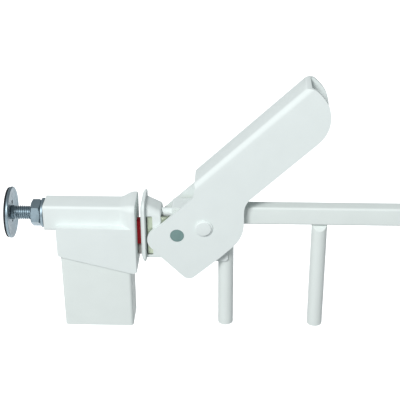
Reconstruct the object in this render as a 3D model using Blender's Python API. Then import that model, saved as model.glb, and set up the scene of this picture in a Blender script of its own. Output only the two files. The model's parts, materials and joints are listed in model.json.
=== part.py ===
"""Stair gate latch: a wall spindle, a post housing, a gate rail end, a lift handle and a clamping cap.

Every dimension below is in millimetres, and MM turns it into Blender's metres when a mesh is made.
+X runs from the wall along the gate, +Z is up and -Y is the front. The origin is the centre of the
wall pad's outer face, so the spindle's axis is the X axis. The handle is raised and the gate is shut.
"""

import math

import bmesh
import bpy
from mathutils import Matrix, Vector

MM = 0.001
GAP = 0.3  # between pieces that touch
ROUND_STEPS = 32  # sides of a full circle
ARC_STEP = math.radians(15)  # largest turn between two points of a filleted corner

# Wall pad and spindle, turned about the X axis
PAD_RADIUS = 18.2
RUBBER_THICK = 0.9
DISC_BACK_X = RUBBER_THICK + GAP
DISC_FLOOR_X = 1.9
DISC_RIM_X = 3.5
PAD_HOLE_RADIUS = 1.7
PAD_HOLE_CIRCLE = 7.2
PAD_HOLE_ANGLES = (45, 165, 285)  # degrees from +Y towards +Z
SPINDLE_RADIUS = 4.9
SPINDLE_START = 2.9
SPINDLE_END = 74.0
NUT_FACES = 17.0
NUT_START, NUT_END = 16.7, 23.9
NUT_VERTEX_ANGLE = 136.5  # degrees from +Y towards +Z
WASHER_RADIUS = 10.5
WASHER_START, WASHER_END = 24.2, 25.9

# Gate post and the housing on its top
POST_X = (36.7, 86.7)
POST_HALF_DEPTH = 12.5
POST_WALL = 1.5
POST_BOTTOM, POST_TOP = -86.3, -9.6
HOUSING_LEFT, HOUSING_STEP, HOUSING_FACE = 26.2, 35.0, 91.0
HOUSING_TUBE_HALF = 9.5
HOUSING_TUBE_CORNER = 2.0
HOUSING_HALF_DEPTH = 14.5
HOUSING_LEDGE = -4.5
HOUSING_TOP = 12.0
HOUSING_LOW_LEFT, HOUSING_LOW_RIGHT = -27.6, -40.6
FLARE_START, FLARE_END = 78.5, 88.5

# Red pressure indicator and the cap's nose, which share the housing's slot
TAB_HALF = 3.0
TAB_Z = (-22.8, -4.0)
NOSE_HALF = 2.2
NOSE_Z = (-31.8, -24.0)
CAP_TRAVEL = 2.9
TAB_BACK = 88.2
STEM_RADIUS = 2.2
STEM_Z = -14.5
STEM_START = 77.0
GUIDE_X = (66.0, 84.0)
GUIDE_HALF_DEPTH = 10.6
GUIDE_Z = (-31.0, -10.2)

# Clamping cap on the gate's end
CAP_FACE, CAP_EDGE, CAP_BACK = 94.3, 95.4, 97.7  # the face is slightly domed
CAP_HALF_DEPTH = 14.5
CAP_Z = (-32.3, 14.3)
BOSS_END = 108.8
BOSS_HALF_DEPTH = 10.3
BOSS_BOTTOM = -30.0
BOSS_TOP_START, BOSS_TOP_END = 11.4, 5.8
BOSS_SHOULDER = 5.0
WINDOW_X = (98.1, 102.6)
WINDOW_Z = (-27.5, 3.4)
PULL_Y = (7.5, 9.1)
PULL_TOP = {-1: 2.3, 1: 0.0}  # the plates' narrow ends, front and rear

# Gate frame: rail, bars and the latch body on the rail's end
RAIL_START, RAIL_END = 146.3, 282.0
RAIL_HALF_DEPTH = 5.3
RAIL_Z = (-4.85, 8.55)
RAIL_WALL = 1.2
BAR_X = (153.7, 219.2)
BAR_RADIUS = 5.5
BAR_WALL = 1.0
BAR_BOTTOM = -89.0
BODY_X = (116.0, 155.2)
BODY_SLEEVE_END = 164.0
BODY_HALF_DEPTH = 7.2
BODY_WALL = 1.7
BODY_Z = (-33.6, 9.0)
ROD_Z = 1.85
ROD_RADIUS = 3.2
ROD_X = (99.6, 130.6)

# Handle. Its outline is drawn lying shut, about the pivot: u towards the gate, v up
PIVOT_X, PIVOT_Z = 138.3, -3.6
LIFT_DEGREES = 43.4
HANDLE_HALF = 13.0
CHEEK_WALL = 2.4
WEB_TOP, WEB_WALL = 28.6, 2.6
SHOULDER_RADIUS = 4.0
STUD_UV = (-17.9, 8.0)
STUD_RADIUS = 2.5
STUD_HEAD_RADIUS = 4.8
HANDLE_CORNERS = (  # u, v and the corner's radius
    (18.2, WEB_TOP, 0.5),
    (123.3, WEB_TOP, 7.0),
    (123.3, -5.7, 23.7),
    (32.8, -5.7, 14.0),
    (15.2, -24.6, 24.0),
    (-8.0, -25.1, 60.0),
    (-37.6, -24.1, 5.5),
    (-38.4, 3.5, 4.0),
    (-37.4, 8.5, 4.0),
    (-40.8, 24.2, 9.3),
    (-20.5, 21.6, 4.0),
    (10.5, 21.4, 3.0),
    (17.0, 26.4, 1.0),
)


# ---------------------------------------------------------------- mesh helpers


def new_object(name, mesh_work):
    """A linked object from bmesh work done in millimetres, with its faces turned out."""
    bmesh.ops.recalc_face_normals(mesh_work, faces=mesh_work.faces)
    mesh_work.transform(Matrix.Scale(MM, 4))
    mesh = bpy.data.meshes.new(name)
    mesh_work.to_mesh(mesh)
    mesh_work.free()
    piece = bpy.data.objects.new(name, mesh)
    bpy.context.scene.collection.objects.link(piece)
    return piece


def loft(name, rings):
    """A closed solid through rings of equally many points, capped at both ends."""
    work = bmesh.new()
    loops = [[work.verts.new(point) for point in ring] for ring in rings]
    for low, high in zip(loops, loops[1:]):
        for k in range(len(low)):
            after = (k + 1) % len(low)
            work.faces.new((low[k], low[after], high[after], high[k]))
    work.faces.new(loops[0])
    work.faces.new(loops[-1])
    return new_object(name, work)


def lift_point(pair, axis, along):
    """A 2-D point of an outline, placed at `along` on the axis that the outline is square to."""
    first, second = pair
    return {
        "X": (along, first, second),
        "Y": (first, along, second),
        "Z": (first, second, along),
    }[axis]


def prism(name, outline, axis, start, end):
    return loft(name, [[lift_point(p, axis, at) for p in outline] for at in (start, end)])


def box(name, xs, ys, zs):
    outline = [(xs[0], zs[0]), (xs[1], zs[0]), (xs[1], zs[1]), (xs[0], zs[1])]
    return prism(name, outline, "Y", ys[0], ys[1])


def filleted(corners):
    """An outline from (a, b, radius) corners, each rounded by an arc of its radius."""
    outline = []
    for k, (a, b, radius) in enumerate(corners):
        here = Vector((a, b))
        to_last = (Vector(corners[k - 1][:2]) - here).normalized()
        to_next = (Vector(corners[(k + 1) % len(corners)][:2]) - here).normalized()
        half = to_last.angle(to_next) / 2
        if radius == 0 or half > math.radians(89.5):
            outline.append(tuple(here))
            continue
        centre = here + (to_last + to_next).normalized() * radius / math.sin(half)
        first = here + to_last * radius / math.tan(half) - centre
        turn = first.angle_signed(here + to_next * radius / math.tan(half) - centre)
        steps = max(1, math.ceil(abs(turn) / ARC_STEP))
        for step in range(steps + 1):
            outline.append(tuple(centre + Matrix.Rotation(-turn * step / steps, 2) @ first))
    return outline


def rounded_box_outline(low, high, radius):
    return filleted([
        (low[0], low[1], radius),
        (high[0], low[1], radius),
        (high[0], high[1], radius),
        (low[0], high[1], radius),
    ])


def circle(centre, radius, steps=ROUND_STEPS, first=0.0):
    turns = [first + 2 * math.pi * k / steps for k in range(steps)]
    return [(centre[0] + radius * math.cos(t), centre[1] + radius * math.sin(t)) for t in turns]


def rod(name, axis, centre, radius, start, end, steps=ROUND_STEPS):
    return prism(name, circle(centre, radius, steps), axis, start, end)


def turned(name, axis, centre, profile, steps=ROUND_STEPS):
    """A solid turned about an axis, from (along, radius) points that start and end on it."""
    work = bmesh.new()
    rings = []
    for along, radius in profile:
        ring = [(centre[0], centre[1])] if radius == 0 else circle(centre, radius, steps)
        rings.append([work.verts.new(lift_point(p, axis, along)) for p in ring])
    for low, high in zip(rings, rings[1:]):
        for k in range(steps):
            after = (k + 1) % steps
            corners = [low[k % len(low)], low[after % len(low)], high[after % len(high)], high[k % len(high)]]
            work.faces.new(list(dict.fromkeys(corners)))
    return new_object(name, work)


def tube_ring(name, axis, centre, profile, steps=ROUND_STEPS):
    """A ring turned about an axis, from a closed (along, radius) profile that stays off it."""
    work = bmesh.new()
    rings = [
        [work.verts.new(lift_point(p, axis, along)) for p in circle(centre, radius, steps)]
        for along, radius in profile
    ]
    for low, high in zip(rings, rings[1:] + rings[:1]):
        for k in range(steps):
            after = (k + 1) % steps
            work.faces.new((low[k], low[after], high[after], high[k]))
    return new_object(name, work)


def plain_ring(name, axis, centre, inner, outer, start, end, steps=ROUND_STEPS):
    return tube_ring(
        name, axis, centre, [(start, inner), (end, inner), (end, outer), (start, outer)], steps
    )


def coil(name, centre, radius, wire, start, end, turns, steps=12, sides=5):
    """A compression spring along X."""
    count = turns * steps
    rings = []
    for k in range(count + 1):
        turn = 2 * math.pi * k / steps
        along = start + wire + (end - start - 2 * wire) * k / count
        outward = Vector((0, math.cos(turn), math.sin(turn)))
        middle = Vector((along, centre[0], centre[1])) + outward * radius
        ring = []
        for side in range(sides):
            angle = 2 * math.pi * side / sides
            ring.append(middle + wire * (outward * math.cos(angle) + Vector((1, 0, 0)) * math.sin(angle)))
        rings.append(ring)
    return loft(name, rings)


def combine(target, operation, *tools):
    """Applies a Boolean with each tool in turn, and removes the tools."""
    for tool in tools:
        step = target.modifiers.new(operation.lower(), "BOOLEAN")
        step.operation = operation
        step.object = tool
        graph = bpy.context.evaluated_depsgraph_get()
        mesh = bpy.data.meshes.new_from_object(target.evaluated_get(graph))
        target.modifiers.clear()
        spent = (target.data, tool.data)
        target.data = mesh
        bpy.data.objects.remove(tool)
        for old in spent:
            bpy.data.meshes.remove(old)
    return target


def cut(target, *tools):
    return combine(target, "DIFFERENCE", *tools)


def weld(target, *tools):
    return combine(target, "UNION", *tools)


def keep_common(target, *tools):
    return combine(target, "INTERSECT", *tools)


# ---------------------------------------------------------------- materials and placing


def make_material(name, colour, roughness, metallic=0.0):
    material = bpy.data.materials.new(name)
    material.use_nodes = True
    shader = material.node_tree.nodes["Principled BSDF"]
    shader.inputs["Base Color"].default_value = (*colour, 1.0)
    shader.inputs["Roughness"].default_value = roughness
    shader.inputs["Metallic"].default_value = metallic
    return material


def make_axis(name, x=0.0, y=0.0, z=0.0, parent=None):
    """An empty on a joint's axis, which the pieces that move with the joint are parented to."""
    axis = bpy.data.objects.new(name, None)
    bpy.context.scene.collection.objects.link(axis)
    axis.empty_display_size = 0.01
    place = Vector((x, y, z)) * MM
    if parent:
        axis.parent = parent
        place -= axis_place(parent)
    axis.location = place
    return axis


def axis_place(axis):
    place = axis.location.copy()
    while axis.parent:
        axis = axis.parent
        place += axis.location
    return place


def place(axis, material, *pieces):
    """Parents pieces to an axis, with their origins on it, and gives them their material."""
    for piece in pieces:
        piece.data.transform(Matrix.Translation(-axis_place(axis)))
        piece.parent = axis
        piece.data.materials.clear()
        piece.data.materials.append(material)
        piece.data.shade_smooth()
        piece.data.set_sharp_from_angle(angle=math.radians(30))


# ---------------------------------------------------------------- wall pad and spindle


def pad_rubber():
    edge = PAD_RADIUS - 0.4
    profile = [(0, 0), (0, edge - 0.5), (0.4, edge), (RUBBER_THICK, edge), (RUBBER_THICK, 0)]
    return turned("pad_rubber", "X", (0, 0), profile)


def pad_disc():
    profile = [
        (DISC_BACK_X, 3.0),
        (DISC_BACK_X, PAD_RADIUS - 0.8),
        (DISC_BACK_X + 0.6, PAD_RADIUS),
        (DISC_RIM_X - 0.4, PAD_RADIUS),
        (DISC_RIM_X, PAD_RADIUS - 0.5),
        (DISC_RIM_X, PAD_RADIUS - 1.4),
        (DISC_RIM_X - 0.9, 12.0),
        (DISC_FLOOR_X, 6.5),
        (DISC_FLOOR_X, 3.0),
    ]
    disc = tube_ring("pad_disc", "X", (0, 0), profile, 40)
    for degrees in PAD_HOLE_ANGLES:
        turn = math.radians(degrees)
        centre = (PAD_HOLE_CIRCLE * math.cos(turn), PAD_HOLE_CIRCLE * math.sin(turn))
        cut(disc, rod("screw_hole", "X", centre, PAD_HOLE_RADIUS, 0, 5, 12))
    return disc


def pad_rivet():
    """Holds the disc on the spindle: a shank through the disc into the spindle's blind hole."""
    shank = turned("pad_rivet", "X", (0, 0), [(1.2, 0), (1.2, 2.7), (8.5, 2.7), (9.0, 2.2), (9.0, 0)], 24)
    return shank


def threaded_spindle():
    profile = [
        (SPINDLE_START - 0.7, 3.0),
        (SPINDLE_START - 0.7, 5.0),
        (SPINDLE_START + 1.6, 5.0),
        (SPINDLE_START + 1.9, SPINDLE_RADIUS),
        (SPINDLE_END - 1.2, SPINDLE_RADIUS),
        (SPINDLE_END, SPINDLE_RADIUS - 1.2),
        (SPINDLE_END, 3.0),
    ]
    return tube_ring("threaded_spindle", "X", (0, 0), profile, 24)


def hex_nut():
    corner_radius = NUT_FACES / math.sqrt(3)
    outline = circle((0, 0), corner_radius, 6, math.radians(NUT_VERTEX_ANGLE))
    nut = prism("hex_nut", outline, "X", NUT_START, NUT_END)
    chamfer = corner_radius - NUT_FACES / 2 + 0.8
    depth = chamfer * math.tan(math.radians(30))
    blank = turned("chamfer", "X", (0, 0), [
        (NUT_START - 0.01, 0),
        (NUT_START - 0.01, corner_radius - chamfer),
        (NUT_START + depth, corner_radius + 0.02),
        (NUT_END - depth, corner_radius + 0.02),
        (NUT_END + 0.01, corner_radius - chamfer),
        (NUT_END + 0.01, 0),
    ])
    keep_common(nut, blank)
    return cut(nut, rod("bore", "X", (0, 0), SPINDLE_RADIUS + 0.08, NUT_START - 1, NUT_END + 1, 32))


def washer():
    return plain_ring("washer", "X", (0, 0), SPINDLE_RADIUS + 0.4, WASHER_RADIUS, WASHER_START, WASHER_END)


# ---------------------------------------------------------------- post side


def post_tube():
    low, high = (POST_X[0], -POST_HALF_DEPTH), (POST_X[1], POST_HALF_DEPTH)
    tube = prism("post_tube", rounded_box_outline(low, high, 2.5), "Z", POST_BOTTOM, POST_TOP)
    inner_low = (low[0] + POST_WALL, low[1] + POST_WALL)
    inner_high = (high[0] - POST_WALL, high[1] - POST_WALL)
    hollow = rounded_box_outline(inner_low, inner_high, 1.0)
    cut(tube, prism("hollow", hollow, "Z", POST_BOTTOM - 1, POST_TOP + 1))
    cut(tube, box("slot", (80, 90), (-5.5, 5.5), (NOSE_Z[0] - 3, POST_TOP + 1)))
    for x, z in HOUSING_SCREWS:
        cut(tube, rod("screw_hole", "Y", (x, z), 1.9, 8, 16, 16))
    return tube


HOUSING_SCREWS = ((70.0, -20.5), (79.5, -20.5))


def flare_ring(x):
    """The housing's section in the flare, which grows smoothly from the tube to the face."""
    t = min(1.0, (x - FLARE_START) / (FLARE_END - FLARE_START))
    grown = t * t * (3 - 2 * t)
    tube_half = HOUSING_TUBE_HALF - 0.1
    half = tube_half + (HOUSING_HALF_DEPTH - 0.02 - tube_half) * grown
    top = tube_half + (HOUSING_TOP - tube_half) * grown
    bottom = -tube_half - 8 * grown
    outline = rounded_box_outline((-half, bottom), (half, top), HOUSING_TUBE_CORNER + 2.5 * grown)
    return [lift_point(p, "X", x) for p in outline]


def post_housing():
    """One moulding: a square tube for the spindle over a deep cap that fits the post."""
    half = HOUSING_TUBE_HALF
    tube = prism(
        "post_housing",
        rounded_box_outline((-half, -half), (half, half), HOUSING_TUBE_CORNER),
        "X", HOUSING_LEFT, HOUSING_FACE - 0.5,
    )
    skirt = prism("skirt", filleted([
        (HOUSING_STEP, HOUSING_LEDGE, 0.8),
        (HOUSING_FACE, HOUSING_LEDGE, 0.0),
        (HOUSING_FACE, HOUSING_LOW_RIGHT, 1.2),
        (HOUSING_FACE - 3, HOUSING_LOW_RIGHT, 0.0),
        (HOUSING_STEP + 1.5, HOUSING_LOW_LEFT, 0.5),
        (HOUSING_STEP, HOUSING_LOW_LEFT + 1.2, 0.8),
    ]), "Y", -HOUSING_HALF_DEPTH, HOUSING_HALF_DEPTH)
    plan = rounded_box_outline(
        (HOUSING_STEP, -HOUSING_HALF_DEPTH), (HOUSING_FACE, HOUSING_HALF_DEPTH), 2.2
    )
    keep_common(skirt, prism("plan", plan, "Z", -60, 20))
    steps = 8
    places = [FLARE_START + (FLARE_END - FLARE_START) * k / steps for k in range(steps + 1)]
    flare = loft("flare", [flare_ring(x) for x in places + [HOUSING_FACE - 0.7, HOUSING_FACE - 0.01]])
    weld(tube, skirt, flare)
    pocket = box(
        "pocket",
        (POST_X[0] - GAP, POST_X[1] + GAP),
        (-POST_HALF_DEPTH - GAP, POST_HALF_DEPTH + GAP),
        (-80, POST_TOP + GAP),
    )
    bore = rod("bore", "X", (0, 0), SPINDLE_RADIUS + 0.4, HOUSING_LEFT - 5, 83.0, 32)
    bush_seat = rod("bush_seat", "X", (0, 0), 7.0 + GAP, HOUSING_LEFT - 5, 40.0)
    slot_half = TAB_HALF + 0.4
    tab_slot = box("tab_slot", (83.4, 95), (-slot_half, slot_half), (NOSE_Z[1] - 0.5, TAB_Z[1] + 0.4))
    nose_slot = box("nose_slot", (85.9, 95), (-slot_half, slot_half), (NOSE_Z[0] - 0.4, NOSE_Z[1] + 0.4))
    cut(tube, pocket, bore, bush_seat, tab_slot, nose_slot)
    for x, z in HOUSING_SCREWS:
        cut(tube, rod("screw_hole", "Y", (x, z), 1.9, 8, 20, 16))
        cut(tube, rod("screw_head", "Y", (x, z), 3.6, HOUSING_HALF_DEPTH - 1.2, 20, 20))
    return tube


def spindle_bush():
    return plain_ring("spindle_bush", "X", (0, 0), SPINDLE_RADIUS + 0.06, 7.0, HOUSING_LEFT + 0.5, 39.7)


def housing_screw(name, centre):
    head = HOUSING_HALF_DEPTH - 0.2
    return turned(name, "Y", centre, [
        (5.6, 0), (6.2, 1.0), (7.0, 1.5), (head - 0.8, 1.5), (head - 0.8, 3.2), (head - 0.3, 3.2),
        (head, 2.6), (head, 0),
    ], 16)


def indicator_guide():
    """A block inside the post that the indicator's stem and spring run in."""
    guide = box("indicator_guide", GUIDE_X, (-GUIDE_HALF_DEPTH, GUIDE_HALF_DEPTH), GUIDE_Z)
    cut(guide, rod("stem_bore", "X", (0, STEM_Z), STEM_RADIUS + 0.5, 68, 90, 24))
    cut(guide, box("tab_room", (83.0, 90), (-TAB_HALF - 0.4, TAB_HALF + 0.4), (-40, 0)))
    for x, z in HOUSING_SCREWS:
        cut(guide, rod("screw_hole", "Y", (x, z), 1.8, 4.5, 16, 16))
    return guide


def pressure_indicator():
    """A red tab that the cap pushes into the housing when the gate is clamped."""
    tip = CAP_FACE - GAP
    tab = box("pressure_indicator", (TAB_BACK, tip), (-TAB_HALF, TAB_HALF), TAB_Z)
    bevel_edges(tab, 0.5)
    return weld(tab, rod("stem", "X", (0, STEM_Z), STEM_RADIUS, STEM_START, TAB_BACK + 1, 24))


def indicator_spring():
    return coil("indicator_spring", (0, STEM_Z), STEM_RADIUS - 0.5, 0.35, 68.3, STEM_START - 0.1, 5)


def bevel_edges(piece, width, segments=2):
    """Rounds all the sharp edges of a plain solid."""
    work = bmesh.new()
    work.from_mesh(piece.data)
    edges = [e for e in work.edges if e.calc_face_angle(0) > math.radians(40)]
    bmesh.ops.bevel(work, geom=edges, offset=width * MM, segments=segments, profile=0.5, affect="EDGES")
    work.to_mesh(piece.data)
    work.free()
    return piece


# ---------------------------------------------------------------- clamping cap

NOSE_STEM_HALF = 1.9
NOSE_STEM_Z = (-28.4, -24.4)
CROSS_PINS = ((101.5, -18.0), (105.5, -24.0))


def plate_ring(x, inset):
    """The face plate's section at x, drawn in from its full size by an inset."""
    low = (-CAP_HALF_DEPTH + inset, CAP_Z[0] + inset)
    high = (CAP_HALF_DEPTH - inset, CAP_Z[1] - inset)
    return [lift_point(p, "X", x) for p in rounded_box_outline(low, high, 5.2 - inset * 0.5)]


def boss_ring(x, top, inset):
    """The boss's section at x, with well rounded shoulders."""
    half, bottom = BOSS_HALF_DEPTH - inset, BOSS_BOTTOM + inset
    outline = filleted([
        (-half, bottom, 1.2), (half, bottom, 1.2), (half, top, BOSS_SHOULDER), (-half, top, BOSS_SHOULDER),
    ])
    return [lift_point(p, "X", x) for p in outline]


def nose_hole(start, end):
    half = NOSE_STEM_HALF + 0.1
    return box("nose_hole", (start, end), (-half, half), (NOSE_STEM_Z[0] - 0.1, NOSE_STEM_Z[1] + 0.1))


def end_plate():
    """The cap's moulding: a face plate, and a hollow boss with a sloping top behind it."""
    plate = loft("end_plate", [
        plate_ring(CAP_FACE, 5.5),
        plate_ring(CAP_FACE + 0.4, 2.6),
        plate_ring(CAP_EDGE, 1.1),
        plate_ring(CAP_EDGE + 1.1, 0.0),
        plate_ring(CAP_BACK, 0.0),
    ])
    boss = loft("boss", [
        boss_ring(CAP_BACK - 1, BOSS_TOP_START, 0.0),
        boss_ring(CAP_BACK, BOSS_TOP_START, 0.0),
        boss_ring(BOSS_END - 0.8, BOSS_TOP_END + 0.4, 0.0),
        boss_ring(BOSS_END, BOSS_TOP_END, 0.6),
    ])
    weld(plate, boss)
    room = PULL_Y[1] + 0.2
    hollow = prism("hollow", [
        (CAP_BACK + 0.4, BOSS_BOTTOM + 1.2), (BOSS_END + 5, BOSS_BOTTOM + 1.2),
        (BOSS_END + 5, 3.3), (CAP_BACK + 0.4, 3.3),
    ], "Y", -room, room)
    cut(plate, hollow)
    rod_seat = box("rod_seat", (CAP_BACK + 0.4, BOSS_END + 5), (-3.6, 3.6), (2, ROD_Z + ROD_RADIUS + 0.2))
    cut(plate, rod_seat)
    for side in (-1, 1):
        ys = sorted((side * (room - 1), side * (BOSS_HALF_DEPTH + 1)))
        cut(plate, box("window", WINDOW_X, ys, WINDOW_Z))
    return cut(plate, nose_hole(CAP_FACE - 1, CAP_BACK + 1))


def cap_core():
    """The block inside the boss that carries the rod, the nose's stem and the two pull plates."""
    half = PULL_Y[0] - GAP
    core = box("cap_core", (CAP_BACK + 0.7, BOSS_END - 0.6), (-half, half), (BOSS_BOTTOM + 1.5, 3.0))
    cut(core, rod("rod_bore", "X", (0, ROD_Z), ROD_RADIUS + 0.1, 90, 120))
    cut(core, nose_hole(95, 103.7))
    for x, z in CROSS_PINS:
        cut(core, rod("pin_hole", "Y", (x, z), 1.45, -20, 20, 16))
    return core


def cap_nose():
    """The locating nose in front of the plate, with a stem through it into the core."""
    nose = box("cap_nose", (HOUSING_FACE + GAP, CAP_FACE - 0.2), (-NOSE_HALF, NOSE_HALF), NOSE_Z)
    bevel_edges(nose, 0.7)
    stem = box("stem", (CAP_FACE - 2, 103.4), (-NOSE_STEM_HALF, NOSE_STEM_HALF), NOSE_STEM_Z)
    return weld(nose, stem)


def cross_pin(name, centre):
    reach = PULL_Y[1] - 0.1
    return rod(name, "Y", centre, 1.4, -reach, reach, 16)


def stud_at(degrees):
    """The stud's (x, z) when the handle has been lowered by this many degrees from raised."""
    u, v = STUD_UV
    turn = math.radians(LIFT_DEGREES - degrees)
    return (
        PIVOT_X + u * math.cos(turn) - v * math.sin(turn),
        PIVOT_Z + u * math.sin(turn) + v * math.cos(turn),
    )


def cam_slot():
    """The path of the stud as the sliding plate sees it, widened to the slot's outline."""
    steps = 10
    path = []
    for k in range(steps + 1):
        x, z = stud_at(LIFT_DEGREES * k / steps)
        path.append(Vector((x + CAP_TRAVEL * k / steps, z)))
    width = STUD_RADIUS + 0.15
    left, right = [], []
    for k, point in enumerate(path):
        along = (path[min(k + 1, steps)] - path[max(k - 1, 0)]).normalized()
        across = Vector((-along.y, along.x)) * width
        left.append(tuple(point + across))
        right.append(tuple(point - across))
    ends = []
    for point, away in ((path[-1], path[-1] - path[-2]), (path[0], path[0] - path[1])):
        first = math.atan2(away.y, away.x) + math.pi / 2
        turns = [first - math.pi * k / 8 for k in range(1, 8)]
        ends.append([(point.x + width * math.cos(t), point.y + width * math.sin(t)) for t in turns])
    return left + ends[0] + right[::-1] + ends[1]


def pull_plate(name, side):
    """A zinc-plated plate beside the latch body, whose slanted slot the handle's stud pushes."""
    top = PULL_TOP[side]
    outline = filleted([
        (99.0, top, 0.0),
        (116.5, top, 1.0),
        (121.5, 8.1, 1.5),
        (129.4, 8.1, 1.0),
        (129.4, -15.4, 2.0),
        (114.2, -15.4, 1.5),
        (110.0, -9.5, 1.0),
        (107.5, -9.5, 1.0),
        (107.5, -27.0, 1.0),
        (99.0, -27.0, 0.0),
    ])
    near, far = sorted((side * PULL_Y[0], side * PULL_Y[1]))
    plate = prism(name, outline, "Y", near, far)
    cut(plate, prism("slot", cam_slot(), "Y", near - 1, far + 1))
    for x, z in CROSS_PINS:
        cut(plate, rod("pin_hole", "Y", (x, z), 1.45, near - 1, far + 1, 16))
    return plate


def push_rod():
    profile = [
        (ROD_X[0], 0), (ROD_X[0], ROD_RADIUS), (ROD_X[1] - 0.4, ROD_RADIUS),
        (ROD_X[1], ROD_RADIUS - 0.4), (ROD_X[1], 0),
    ]
    piece = turned("push_rod", "X", (0, ROD_Z), profile)
    return cut(piece, rod("screw_hole", "X", (0, ROD_Z), 1.4, ROD_X[1] - 8, ROD_X[1] + 1, 16))


def rod_washer():
    return plain_ring("rod_washer", "X", (0, ROD_Z), 1.6, 4.9, ROD_X[1] + 0.2, ROD_X[1] + 1.0, 32)


def rod_screw():
    head = ROD_X[1] + 1.2
    return turned("rod_screw", "X", (0, ROD_Z), [
        (ROD_X[1] - 7, 0), (ROD_X[1] - 7, 1.2), (head, 1.2), (head, 2.6),
        (head + 1.0, 2.4), (head + 1.4, 1.4), (head + 1.4, 0),
    ], 20)


def return_spring():
    start = BODY_X[0] + 2.4 + 0.1
    return coil("return_spring", (0, ROD_Z), 4.1, 0.45, start, ROD_X[1] + 0.1, 6)


# ---------------------------------------------------------------- gate frame


def rail_tube():
    low, high = (-RAIL_HALF_DEPTH, RAIL_Z[0]), (RAIL_HALF_DEPTH, RAIL_Z[1])
    tube = prism("rail_tube", rounded_box_outline(low, high, 1.6), "X", RAIL_START, RAIL_END)
    hollow = rounded_box_outline(
        (low[0] + RAIL_WALL, low[1] + RAIL_WALL), (high[0] - RAIL_WALL, high[1] - RAIL_WALL), 0.6
    )
    cut(tube, prism("hollow", hollow, "X", RAIL_START - 1, RAIL_END + 1))
    return cut(tube, rod("screw_hole", "Y", RAIL_SCREW, 1.8, 0, 10, 16))


RAIL_SCREW = (158.5, 1.85)


def rail_plug():
    inset = RAIL_WALL + 0.2
    low = (-RAIL_HALF_DEPTH + inset, RAIL_Z[0] + inset)
    high = (RAIL_HALF_DEPTH - inset, RAIL_Z[1] - inset)
    plug = prism("rail_plug", rounded_box_outline(low, high, 0.4), "X", RAIL_START + 0.5, 162.0)
    return cut(plug, rod("screw_hole", "Y", RAIL_SCREW, 1.8, -2.2, 10, 16))


def gate_bar(name, x):
    """A round tube whose top is pinched to a chisel where it is welded under the rail."""
    top = RAIL_Z[0] - GAP
    bar = rod(name, "Z", (x, 0), BAR_RADIUS, BAR_BOTTOM, top, 28)
    pinch = 4.6
    for side in (-1, 1):
        edge = side * BAR_RADIUS
        wedge = [
            (edge * 1.01, top - pinch), (edge * 3, top - pinch), (edge * 3, top + 1), (side * 1.4, top + 1),
            (side * 1.4, top),
        ]
        cut(bar, prism("pinch", wedge, "X", x - 8, x + 8))
    hollow = rod("hollow", "Z", (x, 0), BAR_RADIUS - BAR_WALL, BAR_BOTTOM - 1, top - 7.5, 28)
    return cut(bar, hollow)


def latch_body(name, side):
    """Half of the moulding on the rail's end. side is -1 at the front and +1 at the back."""
    outline = filleted([
        (BODY_X[0], BODY_Z[1], 1.2),
        (BODY_SLEEVE_END, BODY_Z[1], 1.0),
        (BODY_SLEEVE_END, RAIL_Z[0] - 2.0, 1.0),
        (BODY_X[1], RAIL_Z[0] - 2.0, 1.0),
        (BODY_X[1], BODY_Z[0], 2.5),
        (BODY_X[0] + 8.0, BODY_Z[0], 3.0),
        (BODY_X[0], BODY_Z[0] + 14.0, 3.0),
    ])
    inner, outer = sorted((side * 0.1, side * BODY_HALF_DEPTH))
    half = prism(name, outline, "Y", inner, outer)
    room = (-BODY_HALF_DEPTH + BODY_WALL, BODY_HALF_DEPTH - BODY_WALL)
    cut(half, box("spring_room", (BODY_X[0] + 2.4, 133.6), room, (ROD_Z - 5.0, BODY_Z[1] - 1.7)))
    cut(half, box("lower_room", (BODY_X[0] + 10.5, 145.5), room, (BODY_Z[0] + 2.0, -11.5)))
    for x, z in BODY_SCREWS:
        ys = sorted((side * 0.1, side * (BODY_HALF_DEPTH - 1.0)))
        weld(half, rod("column", "Y", (x, z), 3.4, ys[0], ys[1], 24))
    seat_y, seat_z = RAIL_HALF_DEPTH + GAP, RAIL_Z[0] - GAP
    cut(
        half,
        rod("rod_bore", "X", (0, ROD_Z), ROD_RADIUS + 0.15, 110, BODY_X[0] + 5),
        rod("pivot_bore", "Y", (PIVOT_X, PIVOT_Z), 4.1, -10, 10),
        box("rail_seat", (RAIL_START - GAP, 170), (-seat_y, seat_y), (seat_z, 20)),
        rod("bar_seat", "Z", (BAR_X[0], 0), BAR_RADIUS + GAP, -50, RAIL_Z[0], 36),
        box("bar_mouth", (BAR_X[0], 170), (-BAR_RADIUS - GAP, BAR_RADIUS + GAP), (-50, RAIL_Z[0] - 2.5)),
    )
    for x, z in BODY_SCREWS + (RAIL_SCREW,):
        reach = 12 if side > 0 else -5.2
        ys = sorted((-side * 1, reach))
        cut(half, rod("screw_hole", "Y", (x, z), 1.7, ys[0], ys[1], 16))
        if side > 0:
            cut(half, rod("screw_head", "Y", (x, z), 3.1, BODY_HALF_DEPTH - 1.2, 12, 20))
    return half


BODY_SCREWS = ((131.0, -18.5), (141.0, -27.5))


def body_screw(name, centre, tip):
    head = BODY_HALF_DEPTH - 0.15
    return turned(name, "Y", centre, [
        (tip, 0), (tip + 1, 1.4), (head - 0.8, 1.4), (head - 0.8, 2.8), (head, 2.4), (head, 0),
    ], 16)


# ---------------------------------------------------------------- handle and pivot


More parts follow.
